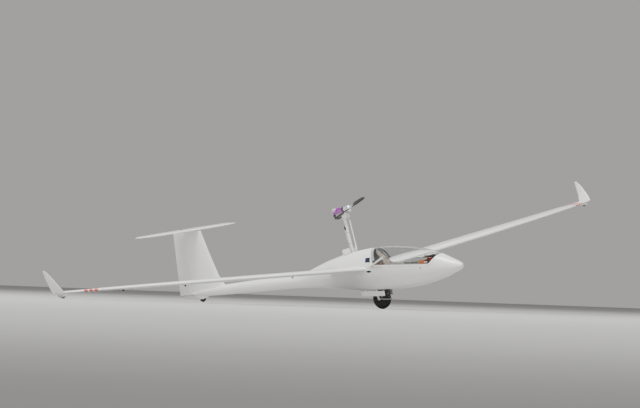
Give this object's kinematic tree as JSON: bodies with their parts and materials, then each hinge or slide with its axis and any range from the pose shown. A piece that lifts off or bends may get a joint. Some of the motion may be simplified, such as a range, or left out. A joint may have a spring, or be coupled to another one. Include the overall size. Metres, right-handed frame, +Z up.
{
  "type": "scale model sailplane",
  "caption": "Large scale model sailplane: T-tail, winglets, clear canopy, fold-away electric motor on a mast, control surfaces, air brakes and wheels that all move.",
  "frame": {"origin": "centre of the footprint, on the floor that the model stands on", "axes": "+Z up, +X towards the nose, +Y towards the port wing tip; the model sits on its main and tail wheels and leans on its starboard tip wheel"},
  "size_m": [2.0814, 4.95, 0.8255],
  "materials": {
    "white_gelcoat": "smooth gelcoat",
    "clear_canopy": "clear blown plastic",
    "seat_taupe": "matt",
    "dark_plastic": "satin",
    "dark_metal": "satin black",
    "tyre_rubber": "matt black",
    "lead_rubber": "matt black",
    "grey_plastic": "satin",
    "grey_metal": "satin",
    "white_paint": "gloss white",
    "bright_metal": "polished",
    "violet_metal": "violet anodised",
    "orange_wrap": "satin shrink wrap",
    "cream_plastic": "satin",
    "cream_paint": "satin",
    "plywood": "bare",
    "black_laminate": "black laminate"
  },
  "bodies": {
    "airframe": {"fuselage_shell": "white_gelcoat", "fin": "white_gelcoat", "tailplane": "white_gelcoat", "left_wing": "white_gelcoat", "left_winglet": "white_gelcoat", "left_tip_pod": "white_gelcoat", "right_wing": "white_gelcoat", "right_winglet": "white_gelcoat", "right_tip_pod": "white_gelcoat", "probe_rod": "white_paint", "seat_shell": "seat_taupe", "cockpit_tray": "grey_plastic", "instrument_panel": "cream_plastic", "battery_block": "orange_wrap", "rear_former": "grey_plastic", "wheel_well": "dark_plastic", "gear_leg": "dark_metal", "gear_fork": "bright_metal", "left_gear_strut": "cream_paint", "right_gear_strut": "cream_paint", "left_gear_door": "white_gelcoat", "right_gear_door": "white_gelcoat", "tail_wheel_fairing": "white_gelcoat", "mast_bulkhead": "plywood", "mast_base": "grey_metal"},
    "rudder": {"rudder": "white_gelcoat"},
    "elevator": {"elevator": "white_gelcoat"},
    "left_flap": {"left_flap": "white_gelcoat"},
    "left_aileron": {"left_aileron": "white_gelcoat"},
    "left_air_brake": {"left_air_brake": "white_gelcoat"},
    "left_tip_wheel": {"left_tip_wheel": "tyre_rubber"},
    "right_flap": {"right_flap": "white_gelcoat"},
    "right_aileron": {"right_aileron": "white_gelcoat"},
    "right_air_brake": {"right_air_brake": "white_gelcoat"},
    "right_tip_wheel": {"right_tip_wheel": "tyre_rubber"},
    "canopy": {"canopy_frame": "white_gelcoat", "canopy_glass": "clear_canopy"},
    "main_wheel": {"main_tyre": "tyre_rubber", "main_hub": "dark_plastic"},
    "tail_wheel": {"tail_tyre": "tyre_rubber", "tail_hub": "dark_plastic"},
    "mast": {"mast_tube": "white_paint", "lead_clip": "dark_plastic"},
    "motor_head": {"head_bracket": "bright_metal", "motor_can": "violet_metal", "motor_end_cap": "bright_metal", "motor_collar": "dark_metal", "gear_ring": "bright_metal", "motor_lead": "lead_rubber"},
    "propeller": {"spinner": "bright_metal"},
    "left_blade": {"left_blade": "black_laminate"},
    "right_blade": {"right_blade": "black_laminate"},
    "link_rod": {"link_rod": "white_paint"},
    "left_front_bay_door": {"left_front_bay_door": "white_gelcoat"},
    "right_front_bay_door": {"right_front_bay_door": "white_gelcoat"},
    "left_middle_bay_door": {"left_middle_bay_door": "white_gelcoat"},
    "right_middle_bay_door": {"right_middle_bay_door": "white_gelcoat"},
    "left_aft_bay_door": {"left_aft_bay_door": "white_gelcoat"},
    "right_aft_bay_door": {"right_aft_bay_door": "white_gelcoat"}
  },
  "joints": [
    {"name": "rudder_hinge", "type": "hinge", "parent": "airframe", "child": "rudder", "pos_m": [-0.91718, 0.04184, 0.11359], "axis": [-0.1584, -0.1363, 0.9779], "range_deg": [-30, 30]},
    {"name": "elevator_hinge", "type": "hinge", "parent": "airframe", "child": "elevator", "pos_m": [-0.94031, -0.00013, 0.41584], "axis": [-0.006, 0.9905, 0.1371], "range_deg": [-28, 16]},
    {"name": "left_flap_hinge", "type": "hinge", "parent": "airframe", "child": "left_flap", "pos_m": [0.23018, 0.1378, 0.22904], "axis": [0.0195, -0.9796, -0.1998], "range_deg": [-8, 40]},
    {"name": "right_flap_hinge", "type": "hinge", "parent": "airframe", "child": "right_flap", "pos_m": [0.23143, -0.06823, 0.20052], "axis": [-0.0075, -0.9972, -0.0738], "range_deg": [-8, 40]},
    {"name": "left_aileron_hinge", "type": "hinge", "parent": "airframe", "child": "left_aileron", "pos_m": [0.20902, 1.20003, 0.44564], "axis": [0.0196, -0.9794, -0.2009], "range_deg": [-20, 20]},
    {"name": "right_aileron_hinge", "type": "hinge", "parent": "airframe", "child": "right_aileron", "pos_m": [0.22325, -1.14953, 0.1205], "axis": [-0.0076, -0.9973, -0.0726], "range_deg": [-20, 20]},
    {"name": "left_air_brake_slide", "type": "slide", "parent": "airframe", "child": "left_air_brake", "axis": [-0.0864, -0.2012, 0.9757], "range_m": [0, 0.016]},
    {"name": "right_air_brake_slide", "type": "slide", "parent": "airframe", "child": "right_air_brake", "axis": [-0.0871, -0.0723, 0.9936], "range_m": [0, 0.016]},
    {"name": "left_tip_wheel_spin", "type": "hinge", "parent": "airframe", "child": "left_tip_wheel", "pos_m": [0.21517, 2.44475, 0.68703], "axis": [-0.006, 0.9905, 0.1371], "continuous": true},
    {"name": "right_tip_wheel_spin", "type": "hinge", "parent": "airframe", "child": "right_tip_wheel", "pos_m": [0.24459, -2.41287, 0.0148], "axis": [-0.006, 0.9905, 0.1371], "continuous": true},
    {"name": "main_wheel_spin", "type": "hinge", "parent": "airframe", "child": "main_wheel", "pos_m": [0.46846, 0.05785, 0.05852], "axis": [-0.006, 0.9905, 0.1371], "continuous": true},
    {"name": "tail_wheel_spin", "type": "hinge", "parent": "airframe", "child": "tail_wheel", "pos_m": [-0.84152, 0.05473, 0.02374], "axis": [-0.006, 0.9905, 0.1371], "continuous": true},
    {"name": "canopy_hinge", "type": "hinge", "parent": "airframe", "child": "canopy", "pos_m": [0.90628, 0.02446, 0.31896], "axis": [-0.006, 0.9905, 0.1371], "range_deg": [0, 50]},
    {"name": "mast_pivot", "type": "hinge", "parent": "airframe", "child": "mast", "pos_m": [0.2918, 0.02906, 0.25887], "axis": [0.006, -0.9905, -0.1371], "range_deg": [0, 107]},
    {"name": "link_rod_pivot", "type": "hinge", "parent": "airframe", "child": "link_rod", "pos_m": [0.31679, 0.02511, 0.2885], "axis": [0.006, -0.9905, -0.1371], "range_deg": [0, 107]},
    {"name": "motor_head_pivot", "type": "hinge", "parent": "mast", "child": "motor_head", "pos_m": [0.23064, -0.00525, 0.50411], "axis": [0.006, -0.9905, -0.1371], "range_deg": [-107, 0]},
    {"name": "propeller_spin", "type": "hinge", "parent": "motor_head", "child": "propeller", "pos_m": [0.26919, -0.01346, 0.5651], "axis": [0.9833, -0.0191, 0.1811], "continuous": true},
    {"name": "left_blade_fold", "type": "hinge", "parent": "propeller", "child": "left_blade", "pos_m": [0.26785, 0.00849, 0.5747], "axis": [-0.1733, -0.4036, 0.8984], "range_deg": [0, 92.5]},
    {"name": "right_blade_fold", "type": "hinge", "parent": "propeller", "child": "right_blade", "pos_m": [0.27053, -0.03541, 0.55549], "axis": [0.1733, 0.4036, -0.8984], "range_deg": [0, 92.5]},
    {"name": "left_front_door_hinge", "type": "hinge", "parent": "airframe", "child": "left_front_bay_door", "pos_m": [0.28635, 0.05441, 0.31613], "axis": [0.9658, -0.0298, 0.2577], "range_deg": [0, 82]},
    {"name": "right_front_door_hinge", "type": "hinge", "parent": "airframe", "child": "right_front_bay_door", "pos_m": [0.28675, -0.01096, 0.30708], "axis": [-0.9658, 0.0298, -0.2577], "range_deg": [0, 82]},
    {"name": "left_middle_door_hinge", "type": "hinge", "parent": "airframe", "child": "left_middle_bay_door", "pos_m": [0.23462, 0.06391, 0.29993], "axis": [-0.9404, 0.041, -0.3377], "range_deg": [0, 150]},
    {"name": "right_middle_door_hinge", "type": "hinge", "parent": "airframe", "child": "right_middle_bay_door", "pos_m": [0.23511, -0.01632, 0.28883], "axis": [0.9404, -0.041, 0.3377], "range_deg": [0, 150]},
    {"name": "left_aft_door_hinge", "type": "hinge", "parent": "airframe", "child": "left_aft_bay_door", "pos_m": [0.08386, 0.07061, 0.24498], "axis": [-0.9048, 0.053, -0.4225], "range_deg": [0, 150]},
    {"name": "right_aft_door_hinge", "type": "hinge", "parent": "airframe", "child": "right_aft_bay_door", "pos_m": [0.08435, -0.00963, 0.23388], "axis": [0.9048, -0.053, 0.4225], "range_deg": [0, 150]}
  ],
  "couplings": [
    {"joint": "link_rod_pivot", "follows": "mast_pivot", "ratio": 1},
    {"joint": "motor_head_pivot", "follows": "mast_pivot", "ratio": -1},
    {"joint": "left_blade_fold", "follows": "mast_pivot", "ratio": 0.8644},
    {"joint": "right_blade_fold", "follows": "mast_pivot", "ratio": 0.8644},
    {"joint": "left_front_door_hinge", "follows": "mast_pivot", "ratio": 0.7663},
    {"joint": "right_front_door_hinge", "follows": "mast_pivot", "ratio": 0.7663},
    {"joint": "left_middle_door_hinge", "follows": "mast_pivot", "ratio": 1.4018},
    {"joint": "right_middle_door_hinge", "follows": "mast_pivot", "ratio": 1.4018},
    {"joint": "left_aft_door_hinge", "follows": "mast_pivot", "ratio": 1.4018},
    {"joint": "right_aft_door_hinge", "follows": "mast_pivot", "ratio": 1.4018}
  ]
}
